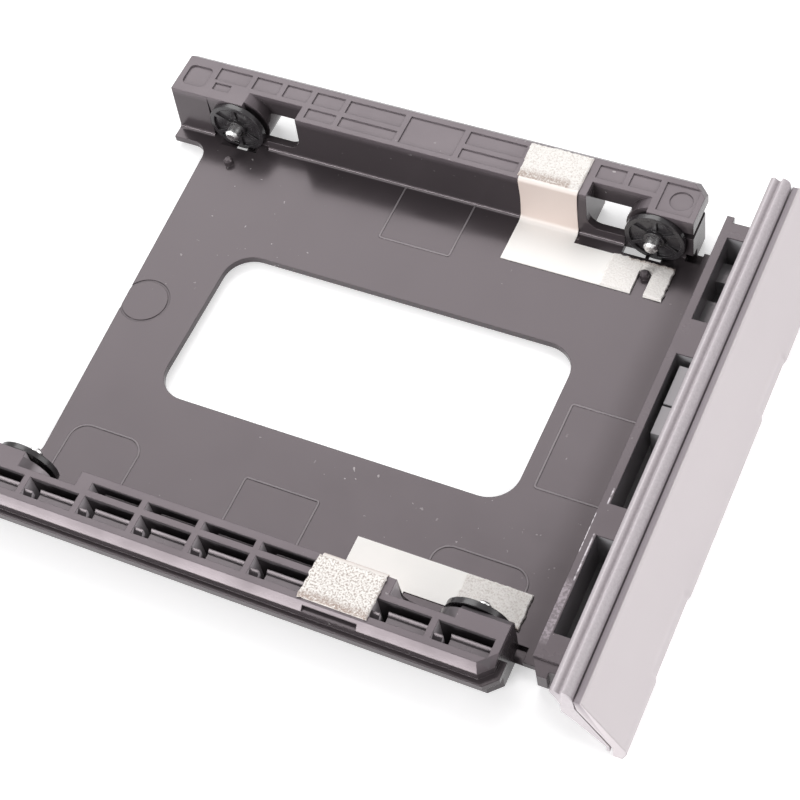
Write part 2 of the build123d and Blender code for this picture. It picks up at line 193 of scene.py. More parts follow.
class Finish:
    def __init__(self, name):
        self.material = bpy.data.materials.new(name)
        self.material.use_nodes = True
        self.tree = self.material.node_tree
        self.tree.nodes.clear()
        out = addNode(self.tree, "OutputMaterial")
        self.shader = addNode(self.tree, "BsdfPrincipled")
        self.wire(self.shader.outputs[0], out.inputs["Surface"])
        self.place = addNode(self.tree, "TexCoord").outputs["Object"]

    def node(self, kind, **settings):
        made = addNode(self.tree, kind)
        for key, value in settings.items():
            setattr(made, key, value)
        return made

    def wire(self, source, target):
        self.tree.links.new(source, target)

    def fixed(self, **values):
        for key, value in values.items():
            self.shader.inputs[key.replace("_", " ")].default_value = value

    def noise(self, scale, detail=3.0, rough=0.55):
        made = addNode(self.tree, "TexNoise", Scale=scale, Detail=detail, Roughness=rough)
        self.wire(self.place, made.inputs["Vector"])
        return made.outputs["Fac"]

    def remap(self, value, low, high, toLow=0.0, toHigh=1.0):
        # low to high is spread over toLow to toHigh, and held beyond both ends
        made = self.node("MapRange")
        keys = ("From Min", "From Max", "To Min", "To Max")
        for key, number in zip(keys, (low, high, toLow, toHigh)):
            made.inputs[key].default_value = number
        self.wire(value, made.inputs["Value"])
        return made.outputs["Result"]

    def maths(self, kind, first, second):
        made = self.node("Math", operation=kind)
        for number, value in enumerate((first, second)):
            if isinstance(value, (int, float)):
                made.inputs[number].default_value = value
            else:
                self.wire(value, made.inputs[number])
        return made.outputs[0]

    def product(self, first, *others):
        for other in others:
            first = self.maths("MULTIPLY", first, other)
        return first

    def rest(self, value):
        # what is left of one
        return self.maths("SUBTRACT", 1.0, value)

    def blend(self, share, first, second):
        made = self.node("Mix", data_type="RGBA")
        for key, value in (("A", first), ("B", second)):
            socket = [s for s in made.inputs if s.name == key and s.type == "RGBA"][0]
            if isinstance(value, tuple):
                socket.default_value = (*value, 1)
            else:
                self.wire(value, socket)
        self.wire(share, made.inputs["Factor"])
        return [s for s in made.outputs if s.type == "RGBA"][0]

    def carried(self, name):
        return self.node("Attribute", attribute_name=name).outputs["Fac"]

    def along(self, socket, axis):
        split = self.node("SeparateXYZ")
        self.wire(socket, split.inputs[0])
        return split.outputs[axis]

    def measured(self, axis):
        return self.along(self.place, axis)

    def facing(self, axis):
        # one where the face looks along the axis, by its normal
        return self.remap(self.along(self.node("TexCoord").outputs["Normal"], axis), *facingSpan)

    def within(self, axis, low, high, soft):
        # one from low to high on the axis, fading over the softness outside both ends
        value = self.measured(axis)
        risen = self.remap(value, low - soft, low)
        return self.product(risen, self.remap(value, high, high + soft, 1.0, 0.0))

    def patch(self, spans, softs):
        # one inside the spans on X, Y and Z, which each have their own softness
        sides = [self.within(axis, *span, soft) for axis, span, soft in zip("XYZ", spans, softs)]
        return self.product(*sides)

    def relief(self, value, depth, over=None):
        made = addNode(self.tree, "Bump", Strength=1.0, Distance=depth)
        self.wire(value, made.inputs["Height"])
        if over is not None:
            self.wire(over, made.inputs["Normal"])
        return made.outputs["Normal"]

    def softEdge(self, radius):
        made = self.node("Bevel", samples=6)
        made.inputs["Radius"].default_value = radius
        return made.outputs["Normal"]

    def colour(self, socket):
        self.wire(socket, self.shader.inputs["Base Color"])

    def gloss(self, socket):
        self.wire(socket, self.shader.inputs["Roughness"])

    def normal(self, socket):
        self.wire(socket, self.shader.inputs["Normal"])


trayPlastic = {
    "dark": (0.044, 0.037, 0.040),
    "light": (0.057, 0.048, 0.052),
    "topDark": (0.092, 0.077, 0.085),
    "topLight": (0.115, 0.098, 0.107),
    "topFrom": 0.0100,
    "topTo": 0.0112,
    "topSheen": (1.0, 0.88, 0.925),
    "floorSheen": (0.89, 0.78, 0.825),
    # painted shade: a lowered sheen for the floor's strip along the front wall
    "paintedShadeSheen": (0.60, 0.52, 0.545),
    "paintedShadeFrom": 0.0345,
    "paintedShadeTo": 0.0385,
    # painted highlight: the mould's raised outlines are painted paler
    "outline": (0.25, 0.228, 0.238),
    "outlineFrom": 0.002225,
    "outlineTo": 0.002265,
    "outlineEnd": 0.0023,
    "outlineGone": 0.00234,
    "outlineHighlightShare": 0.75,
    "outlineRough": 0.12,
    "fleck": (0.42, 0.40, 0.40),
    "fleckScale": 1100.0,
    "fleckFrom": 0.735,
    "fleckTo": 0.765,
    "driftScale": 26.0,
    "drift": (0.52, 0.66, 0.0, 0.8),
    "crisp": 0.00003,
    "rimFrom": 0.01055,
    "rimTo": 0.01065,
    "pocket": (0.30, 0.295, 0.305),
    "pockets": ((0.04288, 0.04660), (-0.0372, 0.0372)),
    # painted highlight with some wear on the front wall's rim: a patch and short lines
    "glintAndWear": (0.33, 0.29, 0.315),
    "glintAndWearPatch": ((0.04140, 0.04290), (-0.0372, -0.0292)),
    "glintAndWearSoft": 0.0016,
    "mottle": (0.42, 0.58, 0.35, 1.0),
    "scratchAndGlint": (0.74, 0.70, 0.73),
    "scratchAndGlintLines": [
        ((0.04176, 0.04187), (-0.0231, -0.0168)),
        ((0.04273, 0.04290), (-0.0276, -0.0202)),
        ((0.04273, 0.04290), (-0.0144, -0.0122)),
    ],
    "scratchAndGlintSofts": (0.00005, 0.0004),
    "broken": (0.36, 0.52, 0.15, 1.0),
    # painted light inside the near rail's cells, palest on the walls that face +x
    "cell": (0.095, 0.085, 0.091),
    "cellEnd": (0.46, 0.42, 0.445),
    "cells": ((-0.0520, 0.0368), (-0.0446, -0.0370), (0.0036, 0.01142)),
    "cloudScale": 38.0,
    "smearScale": 152.0,
    "floorRough": (0.16, 0.24),
    "topRough": (0.28, 0.38),
    "grain": 5200.0,
    "grainDepth": 0.000006,
    "floorGrain": 0.25,
    "wave": 55.0,
    "waveDepth": 0.00006,
    "edge": 0.00016,
    "refraction": 1.5,
}


def raisedOutlines(finish, values):
    # one on the mould's raised outlines: a thin layer of heights over the floor, where the face looks up
    height = finish.measured("Z")
    raised = finish.remap(height, values["outlineFrom"], values["outlineTo"])
    below = finish.remap(height, values["outlineEnd"], values["outlineGone"], 1.0, 0.0)
    return finish.product(raised, below, finish.facing("Z"))


def layDust(finish, values, shown):
    # the flecks are the peaks of a fine noise, and show only where a slow noise is high
    fine = finish.noise(values["fleckScale"], detail=1.5)
    fleck = finish.remap(fine, values["fleckFrom"], values["fleckTo"])
    drift = finish.remap(finish.noise(values["driftScale"]), *values["drift"])
    return finish.blend(finish.product(fleck, drift), shown, values["fleck"])


def markFrontWall(finish, values, shown):
    # the front wall: paler inside its pockets; its rim gets a painted highlight with some wear, as a patch at
    # the near end and as short pale lines
    crisp = values["crisp"]
    rim = finish.remap(finish.measured("Z"), values["rimFrom"], values["rimTo"])
    inside = finish.product(finish.patch(values["pockets"], (crisp, crisp)), finish.rest(rim))
    shown = finish.blend(inside, shown, values["pocket"])
    # painted highlight with some wear: a mottled pale patch on the rim at the near end
    glintAndWearPatch = finish.patch(values["glintAndWearPatch"], (crisp, values["glintAndWearSoft"]))
    mottle = finish.remap(finish.noise(values["fleckScale"] * 2), *values["mottle"])
    shown = finish.blend(finish.product(glintAndWearPatch, mottle, rim), shown, values["glintAndWear"])
    broken = finish.remap(finish.noise(values["fleckScale"]), *values["broken"])
    # painted glints with some scratches: short pale broken lines along the rim
    for spans in values["scratchAndGlintLines"]:
        line = finish.product(finish.patch(spans, values["scratchAndGlintSofts"]), broken, rim)
        shown = finish.blend(line, shown, values["scratchAndGlint"])
    return shown


def paintLightInCells(finish, values, shown):
    # painted light: the near rail's cells are painted paler inside, and the end walls that face the bezel,
    # towards the light from the right, palest of all
    held = finish.patch(values["cells"], [values["crisp"]] * 3)
    return finish.blend(held, shown, finish.blend(finish.facing("X"), values["cell"], values["cellEnd"]))


def makeTrayPlastic(values):
    # clouded, lighter on the rail tops than on the floor; the finer marks are laid over that one by one
    finish = Finish("trayPlastic")
    cloud = finish.noise(values["cloudScale"], detail=5.0)
    top = finish.remap(finish.measured("Z"), values["topFrom"], values["topTo"])
    onFloor = finish.blend(cloud, values["dark"], values["light"])
    onTop = finish.blend(cloud, values["topDark"], values["topLight"])
    outline = raisedOutlines(finish, values)
    outlineHighlightShare = finish.product(outline, values["outlineHighlightShare"])
    # painted highlight on the raised outlines
    shown = finish.blend(outlineHighlightShare, finish.blend(top, onFloor, onTop), values["outline"])
    for mark in (layDust, markFrontWall, paintLightInCells):
        shown = mark(finish, values, shown)
    finish.colour(shown)
    # the roughness drifts in smears, between the floor's limits or the top's, and is more on the outlines
    smear = finish.noise(values["smearScale"], detail=4.0)
    low = finish.remap(smear, *noiseSpan, *values["floorRough"])
    high = finish.remap(smear, *noiseSpan, *values["topRough"])
    even = finish.maths("ADD", low, finish.product(finish.maths("SUBTRACT", high, low), top))
    finish.gloss(finish.maths("ADD", even, finish.product(outline, values["outlineRough"])))
    # a fine grain, weaker on the floor, over a slow wave, over softened edges
    soft = finish.softEdge(values["edge"])
    waved = finish.relief(finish.noise(values["wave"], detail=2.0), values["waveDepth"], soft)
    strength = finish.remap(top, 0.0, 1.0, values["floorGrain"], 1.0)
    grain = finish.product(finish.noise(values["grain"], detail=2.0), strength)
    finish.normal(finish.relief(grain, values["grainDepth"], waved))
    # painted shade: the floor's sheen is lowered in the strip along the front wall, where the wall and the
    # bezel shade it
    finish.fixed(IOR=values["refraction"], Specular_Tint=(*values["topSheen"], 1))
    strip = finish.remap(finish.measured("X"), values["paintedShadeFrom"], values["paintedShadeTo"])
    sheen = finish.blend(top, values["floorSheen"], values["topSheen"])
    sheen = finish.blend(finish.product(strip, finish.rest(top)), sheen, values["paintedShadeSheen"])
    finish.wire(sheen, finish.shader.inputs["Specular Tint"])
    return finish.material


bezelPlastic = {
    "dark": (0.600, 0.548, 0.565),
    "light": (0.655, 0.600, 0.617),
    # painted shadow: the dark band at the foot of the frame's ridge
    "band": (0.255, 0.220, 0.242),
    "cloud": 30.0,
    "smear": 150.0,
    "rough": (0.38, 0.48),
    "grain": 3800.0,
    "grainDepth": 0.000010,
    "edge": 0.0003,
    "refraction": 1.48,
}
framePlastic = {
    "dark": (0.305, 0.270, 0.290),
    "light": (0.640, 0.590, 0.612),
    "grit": (-0.10, 0.10),
    "smear": 300.0,
    "rough": (0.34, 0.46),
    "grain": 2600.0,
    "grainDepth": 0.000022,
    "edge": 0.0002,
    "refraction": 1.48,
}


def bezelSurface(finish, values):
    # a roughness that drifts in smears, and a fine grain over softened edges
    finish.gloss(finish.remap(finish.noise(values["smear"]), *noiseSpan, *values["rough"]))
    grain = finish.noise(values["grain"], detail=2.0)
    finish.normal(finish.relief(grain, values["grainDepth"], finish.softEdge(values["edge"])))
    finish.fixed(IOR=values["refraction"])


def makeFramePlastic(values):
    # painted light and shade with some wear: crests are painted light and the shaded flanks and valleys dark,
    # with a coarse grit that breaks the change up
    finish = Finish("framePlastic")
    grit = finish.remap(finish.noise(values["grain"]), *noiseSpan, *values["grit"])
    share = finish.maths("ADD", finish.carried("lightShadeAndWear"), grit)
    finish.colour(finish.blend(share, values["dark"], values["light"]))
    bezelSurface(finish, values)
    return finish.material


def makeCoverPlastic(values):
    # a clouded face, with a painted shadow: a dark band at the foot of the frame's ridge, where the carried
    # attribute is one
    finish = Finish("coverPlastic")
    face = finish.blend(finish.noise(values["cloud"], detail=5.0), values["dark"], values["light"])
    finish.colour(finish.blend(finish.carried("lightShadeAndWear"), face, values["band"]))
    bezelSurface(finish, values)
    return finish.material


rubber = {
    "dark": (0.020, 0.018, 0.020),
    "light": (0.042, 0.038, 0.041),
    "rough": (0.17, 0.30),
    "speck": 700.0,
    "speckDepth": 0.00001,
    "edge": 0.0002,
}


def makeRubber(values):
    # black, with one fine noise for its tone, its gloss and its specks
    finish = Finish("blackRubber")
    cloud = finish.noise(values["speck"], detail=4.0)
    finish.colour(finish.blend(cloud, values["dark"], values["light"]))
    finish.gloss(finish.remap(cloud, *noiseSpan, *values["rough"]))
    finish.normal(finish.relief(cloud, values["speckDepth"], finish.softEdge(values["edge"])))
    return finish.material


pinSteel = {
    "dark": (0.80, 0.79, 0.79),
    "light": (0.93, 0.92, 0.92),
    "rough": (0.22, 0.34),
    "brush": 1600.0,
    "edge": 0.0001,
}


def makePinSteel(values):
    # bright metal, with one fine noise for its tone and its gloss
    finish = Finish("pinSteel")
    cloud = finish.noise(values["brush"])
    finish.colour(finish.blend(cloud, values["dark"], values["light"]))
    finish.gloss(finish.remap(cloud, *noiseSpan, *values["rough"]))
    finish.normal(finish.softEdge(values["edge"]))
    finish.fixed(Metallic=1.0)
    return finish.material


tapeCloth = {
    "dark": (0.84, 0.775, 0.735),
    "light": (0.94, 0.905, 0.87),
    # painted shade on the wall, and painted light on the tail that lies on the floor
    "wall": (0.70, 0.595, 0.545),
    "tail": (0.97, 0.95, 0.925),
    "tailTop": 0.0035,
    "wallFrom": 0.0045,
    "tailShade": 0.15,
    "cloud": 120.0,
    "weave": 2600.0,
    "weaveDepth": 0.000010,
    "crease": 190.0,
    "creaseDepth": 0.00006,
    "rough": (0.34, 0.5),
}


def makeTapeCloth(values):
    # painted light and shade: palest where it lies on the floor, and darkest on the wall, where the carried
    # attribute is one
    finish = Finish("tapeCloth")
    cloud = finish.noise(values["cloud"], detail=5.0)
    clean = finish.blend(cloud, values["dark"], values["light"])
    height = finish.measured("Z")
    # painted light: the tail on the floor is painted paler
    raised = finish.remap(height, values["tailTop"], values["wallFrom"], values["tailShade"], 1.0)
    clean = finish.blend(raised, values["tail"], clean)
    finish.colour(finish.blend(finish.carried("lightShadeAndWear"), clean, values["wall"]))
    finish.gloss(finish.remap(cloud, *noiseSpan, *values["rough"]))
    creased = finish.relief(finish.noise(values["crease"], detail=2.0), values["creaseDepth"])
    weave = finish.noise(values["weave"], detail=2.0)
    finish.normal(finish.relief(weave, values["weaveDepth"], creased))
    return finish.material


padCloth = {
    "far": {
        "pit": (0.62, 0.56, 0.52), "thread": (0.85, 0.825, 0.795), "soilAndShade": (0.38, 0.285, 0.24),
        "paintedFloorLight": (0.98, 0.94, 0.91), "speck": 3600.0, "threadSpan": (0.34, 0.52), "relief": 0.00003,
    },
    "near": {
        "pit": (0.42, 0.355, 0.32), "thread": (0.88, 0.85, 0.82), "soilAndShade": (0.34, 0.25, 0.21),
        "paintedFloorLight": (0.99, 0.945, 0.91), "speck": 3400.0, "threadSpan": (0.38, 0.53), "relief": 0.00006,
    },
    "both": {
        "rough": (0.5, 0.8), "paintedFloorLightShare": 0.55, "lowTop": 0.0045, "highFrom": 0.0055,
        "stainScale": 0.9, "stain": (0.36, 0.6, 0.15, 1.25), "soilAndShadeMost": 0.9,
    },
}


def makePadCloth(side, values, both):
    # the carried attribute says where the threads are painted with shade and soil; the specks break its edge
    # up
    finish = Finish("padCloth" + side.capitalize())
    speck = finish.noise(values["speck"], rough=0.6)
    clean = finish.blend(finish.remap(speck, *values["threadSpan"]), values["pit"], values["thread"])
    # painted light: pads lying on the floor are painted paler
    low = finish.remap(finish.measured("Z"), both["lowTop"], both["highFrom"], both["paintedFloorLightShare"], 0.0)
    clean = finish.blend(low, clean, values["paintedFloorLight"])
    stain = finish.noise(values["speck"] * both["stainScale"], detail=2.0, rough=0.7)
    share = finish.product(finish.carried("lightShadeAndWear"), finish.remap(stain, *both["stain"]))
    finish.colour(finish.blend(finish.remap(share, 0.0, 1.0, 0.0, both["soilAndShadeMost"]), clean, values["soilAndShade"]))
    finish.gloss(finish.remap(speck, *noiseSpan, *both["rough"]))
    finish.normal(finish.relief(speck, values["relief"]))
    return finish.material


def coat(names, material):
    # solids keep their own shape and take the one finish
    for name in names:
        mesh = cadNodes[name].data
        mesh.materials.clear()
        mesh.materials.append(material)


def lightShadeAndWearPiece(name, mesh, lightShadeAndWear, sharp):
    # the points carry an attribute of painted light and shade and of wear, and edges that turn more than the
    # angle stay sharp
    carried = mesh.attributes.new("lightShadeAndWear", "FLOAT", "POINT")
    carried.data.foreach_set("value", lightShadeAndWear.astype(np.float32))
    mesh.shade_smooth()
    mesh.set_sharp_from_angle(angle=sharp)
    piece = bpy.data.objects.new(name, mesh)
    scene.collection.objects.link(piece)
    return piece


# cloth: its sharp edges by angle, and its cut edges by the spacing and the share of each layer of threads
cloth = {
    "sharp": 0.7,
    "frayed": ((3, 1.0), (9, 0.7), (27, 0.6)),
}


def clothShell(name, shells, node):
    # each shell is an upper and a lower grid of points, joined round their border
    points, faces, lightShadeAndWear = [], [], []
    for upper, lower, lightShadeAndWearShare in shells:
        rows, cols = upper.shape[:2]
        count = rows * cols
        index = np.arange(count).reshape(rows, cols) + sum(len(part) for part in points)
        grid = [index[:-1, :-1], index[1:, :-1], index[1:, 1:], index[:-1, 1:]]
        faces.append(np.stack([corner.ravel() for corner in grid], 1))
        faces.append(faces[-1][:, ::-1] + count)
        ring = np.concatenate([index[:-1, 0], index[-1, :-1], index[:0:-1, -1], index[0, :0:-1]])
        below = ring + count
        faces.append(np.stack([below, np.roll(below, -1), np.roll(ring, -1), ring], 1))
        points += [upper.reshape(-1, 3), lower.reshape(-1, 3)]
        lightShadeAndWear += [lightShadeAndWearShare.ravel(), lightShadeAndWearShare.ravel()]
    mesh = bpy.data.meshes.new(name)
    mesh.from_pydata(np.concatenate(points), [], np.concatenate(faces).tolist())
    piece = lightShadeAndWearPiece(name, mesh, np.concatenate(lightShadeAndWear), cloth["sharp"])
    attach(piece, "root")
    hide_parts(node)
    return piece


def smoothStep(value, low, high):
    # nought up to low, one from high, and the cubic three squares less two cubes between
    share = np.clip((value - low) / (high - low), 0, 1)
    return share * share * (3 - 2 * share)


def fray(seed, count, size):
    # seeded random heights at a few spacings, joined by straight lines: an edge of cut threads
    rng = np.random.default_rng(seed)
    along = np.linspace(0, 1, count)
    edge = np.zeros(count)
    for spacing, share in cloth["frayed"]:
        knots = max(int(count / spacing), 2)
        edge += share * size * np.interp(along, np.linspace(0, 1, knots), rng.uniform(-1, 1, knots))
    return edge


# in millimetres from here on, as on a drawing; the far side, which near ones mirror
perMetre = 1000
bay = {
    "side": 36.3,  # the rail's inner wall at the floor
    "draft": 0.6,  # how far that wall leans out up to the rail's top
    "top": 11.5,
    "floor": 2.2,
    "thick": 0.2,  # of the tape
    "start": 7.67,
    "width": 10.3,
    "pegX": 31.274,
    "slotHalf": 1.1,
    "slotEnd": 32.3,
    "slotSides": (0.9, 0.97, 0.996, 1.004),  # extra columns, in shares of half the slot
}
tapes = {
    "far": {"inner": 27.3, "end": 35.47, "tail": 6.6, "slot": True},
    "near": {"inner": 28.3, "end": 36.27, "tail": 6.1, "slot": False},
}
tapeForm = {
    "cove": 1.1,
    "fold": 0.75,
    "foldY": 37.23,
    "foldZ": 11.07,
    "leanFrom": 6.7,
    "reach": 44.4,
    "settle": 1.3,
    "waist": 0.16,
    "waistHeight": 9.5,
    "rows": {"floor": 12, "turn": 12, "wall": 26, "top": 30},
    "columns": 24,
    "tailStep": 0.35,
    "tailRows": 20,
}


def bulge(y):
    # the tape's top stands a little proud at the fold and comes down onto the rail
    proud = tapeForm["foldZ"] + tapeForm["fold"] - bay["top"] - bay["thick"]
    return proud * (1 - smoothStep(y, tapeForm["foldY"], tapeForm["foldY"] + tapeForm["settle"]))


def tapePath(values):
    # floor line, quarter round cove, wall line that leans out near the top, quarter round fold, top line
    rows = tapeForm["rows"]
    low = bay["floor"] + bay["thick"]
    cove, fold = tapeForm["cove"], tapeForm["fold"]
    slope = bay["draft"] / (bay["top"] - bay["floor"])
    wallZ = np.linspace(low + cove, tapeForm["foldZ"], rows["wall"])
    wallY = bay["side"] - bay["thick"] + slope * (wallZ - bay["floor"])
    foldStart = tapeForm["foldY"] - fold
    wallY = wallY - (wallY[-1] - foldStart) * smoothStep(wallZ, tapeForm["leanFrom"], tapeForm["foldZ"])
    turn = np.linspace(0, np.pi / 2, rows["turn"])[1:-1]
    coveY = wallY[0] - cove + cove * np.sin(turn)
    coveZ = low + cove - cove * np.cos(turn)
    foldY = tapeForm["foldY"] - fold * np.cos(turn)
    foldZ = tapeForm["foldZ"] + fold * np.sin(turn)
    floorY = np.linspace(values["inner"], wallY[0] - cove, rows["floor"])
    floorZ = np.full_like(floorY, low)
    topY = np.linspace(tapeForm["foldY"], tapeForm["reach"], rows["top"])
    topZ = bay["top"] + bay["thick"] + bulge(topY)
    y = np.concatenate([floorY, coveY, wallY, foldY, topY])
    z = np.concatenate([floorZ, coveZ, wallZ, foldZ, topZ])
    # the wall share carries the painted shade on the wall
    shares = [0 * floorY, np.sin(turn) ** 2, np.ones_like(wallY), np.cos(turn) ** 2, 0 * topY]
    return y, z, np.concatenate(shares)


def tapeStrip(values):
    # the path carried along x; the under side is the path moved in by the thickness along its normal
    y, z, onWall = tapePath(values)
    alongY, alongZ = np.gradient(y), np.gradient(z)
    length = np.hypot(alongY, alongZ)
    inY, inZ = y + bay["thick"] * alongZ / length, z - bay["thick"] * alongY / length
    across = np.linspace(0, 1, tapeForm["columns"])[:, None]
    height = np.clip((z - bay["floor"]) / tapeForm["waistHeight"], 0, 1)
    waist = tapeForm["waist"] * np.sin(np.pi * height) * onWall
    x = bay["start"] + waist + across * (bay["width"] - 2 * waist)
    spread = np.ones_like(across)
    upper = np.stack([x, y * spread, z * spread], 2)
    lower = np.stack([x, inY * spread, inZ * spread], 2)
    size = np.hypot(np.diff(y), np.diff(z)).sum()
    return upper, lower, onWall * spread, size


def slotEdge(x, low, cut):
    # the low edge steps up to a half round end wherever the peg's slot runs
    if not cut:
        return np.full_like(x, low)
    offset = np.clip(np.abs(x - bay["pegX"]) / bay["slotHalf"], 0, 1)
    inside = np.abs(x - bay["pegX"]) < bay["slotHalf"]
    rounded = bay["slotEnd"] - bay["slotHalf"] * (1 - np.sqrt(1 - offset ** 2))
    return np.where(inside, rounded, low)


def columns(start, end, step, cut):
    # even steps along x, with more columns close to the sides of the peg's slot
    x = np.linspace(start, end, int((end - start) / step) + 1)
    if cut:
        sides = bay["slotHalf"] * np.array(bay["slotSides"])
        x = np.unique(np.concatenate([x, bay["pegX"] - sides, bay["pegX"] + sides]))
    return x


def tapeTail(values):
    # straight rows from the low edge with its slot to the high edge; the area is the trapezia between columns
    x = columns(bay["start"] + bay["width"], values["end"], tapeForm["tailStep"], values["slot"])
    low = slotEdge(x, values["inner"], values["slot"])
    high = np.full_like(x, values["inner"] + values["tail"])
    share = np.linspace(0, 1, tapeForm["tailRows"])
    y = low[:, None] * (1 - share) + high[:, None] * share
    upper = np.stack([x[:, None] + 0 * y, y, np.full_like(y, bay["floor"] + bay["thick"])], 2)
    lower = upper - np.array([0, 0, bay["thick"]])
    depth = high - low
    area = (np.diff(x) * (depth[1:] + depth[:-1]) / 2).sum()
    return upper, lower, np.zeros_like(y), area


def placed(shell, near):
    # millimetres to metres, and a near piece is the far one mirrored in y, its rows turned round
    upper, lower, lightShadeAndWearShare = shell
    if near:
        flip = np.array([1, -1, 1])
        upper, lower, lightShadeAndWearShare = (upper * flip)[::-1], (lower * flip)[::-1], lightShadeAndWearShare[::-1]
    return upper / perMetre, lower / perMetre, lightShadeAndWearShare


def makeTape(side):
    # the strip down the rail and its tail on the floor, as two shells of one sheet
    values = tapes[side]
    upper, lower, lightShadeAndWearShare, length = tapeStrip(values)
    tailUpper, tailLower, tailLightShadeAndWearShare, tailArea = tapeTail(values)
    shells = [(upper, lower, lightShadeAndWearShare), (tailUpper, tailLower, tailLightShadeAndWearShare)]
    shells = [placed(shell, side == "near") for shell in shells]
    name = "earthTape" + side.capitalize()
    piece = clothShell(name, shells, "earth_tape_" + side)
    return piece


# each pad's band is its edge painted with shade and soil: which one, how wide, and over which share of its
# length
pads = {
    "railFar": {
        "node": "rail_pad_far", "near": False, "raised": True, "slot": False, "seed": 3, "fray": 0.10,
        "box": (6.95, 18.0, 37.3, 44.35), "taper": (0.55, 0.0), "band": ("low", 1.5, (0.03, 0.84)),
    },
    "railNear": {
        "node": "rail_pad_near", "near": True, "raised": True, "slot": False, "seed": 5, "fray": 0.16,
        "box": (6.95, 18.0, 37.3, 44.35), "taper": (0.25, 0.0), "band": ("high", 1.1, (0.0, 1.0)),
    },
    "floorFar": {
        "node": "floor_pad_far", "near": False, "raised": False, "slot": True, "seed": 7, "fray": 0.12,
        "box": (24.95, 35.5, 27.35, 33.95), "taper": (0.0, 0.0), "band": ("high", 0.55, (0.25, 1.0)),
    },
    "floorNear": {
        "node": "floor_pad_near", "near": True, "raised": False, "slot": False, "seed": 9, "fray": 0.12,
        "box": (25.75, 36.3, 28.35, 34.45), "taper": (0.0, 0.0), "band": ("high", 0.5, (0.0, 1.0)),
    },
}
padForm = {
    "thick": 0.35,
    "rim": 0.28,
    "rimShare": 0.35,
    "grain": 0.020,
    "grainMost": 2,
    "step": 0.12,
    "seedStep": 100,
    "lowFray": 0.5,
    "straighten": 40,
    "bandFade": (0.2, 1.5),
    "bandSoft": 0.03,
    "bandMost": 0.9,
}


def padShadeAndSoil(values, shareX, inward):
    # the band of painted shade and soil fades with the distance from its edge, and starts and stops softly
    # along it
    width, span = values["band"][1:]
    near, far = padForm["bandFade"]
    soft = padForm["bandSoft"]
    run = smoothStep(shareX, span[0] - soft, span[0] + soft)
    run = run * (1 - smoothStep(shareX, span[1] - soft, span[1] + soft))
    return (1 - smoothStep(inward, near * width, far * width)) * run[:, None] * padForm["bandMost"]


def makePad(name, values):
    # a grid between four frayed edges; its height falls away as a quarter round at the rim, plus seeded grain
    x0, x1, y0, y1 = values["box"]
    base = columns(x0, x1, padForm["step"], values["slot"])
    shareX = (base - x0) / (x1 - x0)
    shareY = np.linspace(0, 1, int((y1 - y0) / padForm["step"]) + 1)
    size = values["fray"]
    # one seed for each of the four edges and one for the grain
    seeds = [values["seed"] + padForm["seedStep"] * number for number in range(5)]
    left = x0 + values["taper"][0] * (1 - shareY) + fray(seeds[0], len(shareY), size)
    right = x1 - values["taper"][1] * (1 - shareY) + fray(seeds[1], len(shareY), size)
    low = slotEdge(base, y0, values["slot"]) + fray(seeds[2], len(shareX), size * padForm["lowFray"])
    high = y1 + fray(seeds[3], len(shareX), size)
    # the columns are straight inside the pad and take up the frayed ends towards them
    straight = 1 - np.exp(-np.minimum(shareX, 1 - shareX)[:, None] * padForm["straighten"])
    frayed = left * (1 - shareX[:, None]) + right * shareX[:, None]
    x = base[:, None] * straight + frayed * (1 - straight)
    y = low[:, None] * (1 - shareY) + high[:, None] * shareY
    rim = np.minimum(np.minimum(x - left, right - x), np.minimum(y - low[:, None], high[:, None] - y))
    rim = 1 - np.clip(rim / padForm["rim"], 0, 1)
    rng = np.random.default_rng(seeds[4])
    most = padForm["grainMost"]
    grain = padForm["grain"] * rng.standard_normal(x.shape).clip(-most, most)
    under = bay["top"] + bulge(y) if values["raised"] else np.full_like(y, bay["floor"])
    under = under + bay["thick"]
    share = padForm["rimShare"]
    z = under + padForm["thick"] * (share + (1 - share) * np.sqrt(1 - rim ** 2)) + grain * (1 - rim)
    inward = (y - low[:, None]) if values["band"][0] == "low" else (high[:, None] - y)
    lightShadeAndWearShare = padShadeAndSoil(values, shareX, inward)
    shell = placed((np.stack([x, y, z], 2), np.stack([x, y, under], 2), lightShadeAndWearShare), values["near"])
    return clothShell(name + "Pad", [shell], values["node"])


# the bezel's two mouldings, as outlines in x and z that are carried along y; each corner has its own rounding
bezel = {
    "tray": 45.326,  # from the outlines' zero along x to the part's origin
    "lift": 2.2,  # from their zero height to the table
    "rows": 240,
    "run": 0.6,  # longest stretch of outline without a point
    "clear": 0.12,  # nearest that such a point comes to another
    "bends": 7,  # points on each corner's curve
    "stepFrom": 101.9,
    "stepTo": 102.4,
    "crestFrom": 11.2,
    "crestTo": 11.6,
    "sharp": 0.33,
}
frameForm = {
    "outline": [
        (92.00, 12.40, 0.02), (92.10, 12.80, 0.12), (92.66, 13.14, 0.16), (93.30, 12.60, 0.16),
        (93.60, 12.50, 0.08), (93.99, 13.44, 0.13), (94.64, 13.26, 0.30), (95.20, 12.74, 0.30),
        (95.40, 11.50, 0.05), (95.54, 9.28, 0.05), (100.26, 0.42, 0.05), (100.26, -1.30, 0.15),
        (99.72, -1.30, 0.10), (99.72, 0.0, 0.10), (95.40, 5.10, 0.30), (93.42, 6.90, 0.05),
        (93.42, 9.40, 0.05),
    ],
    # painted light and shade with some wear: lit crests pale, shaded flanks and valleys dark
    "lightShadeAndWear": [
        (91.9, 0.20), (92.4, 0.42), (92.66, 0.98), (92.92, 0.66), (93.3, 0.42), (93.7, 0.5), (93.97, 0.86),
        (94.2, 0.58), (94.7, 0.37), (95.2, 0.26), (95.45, 0.10), (95.8, 0.45), (96.5, 0.75),
    ],
    "ends": (-46.38, 46.80),
}
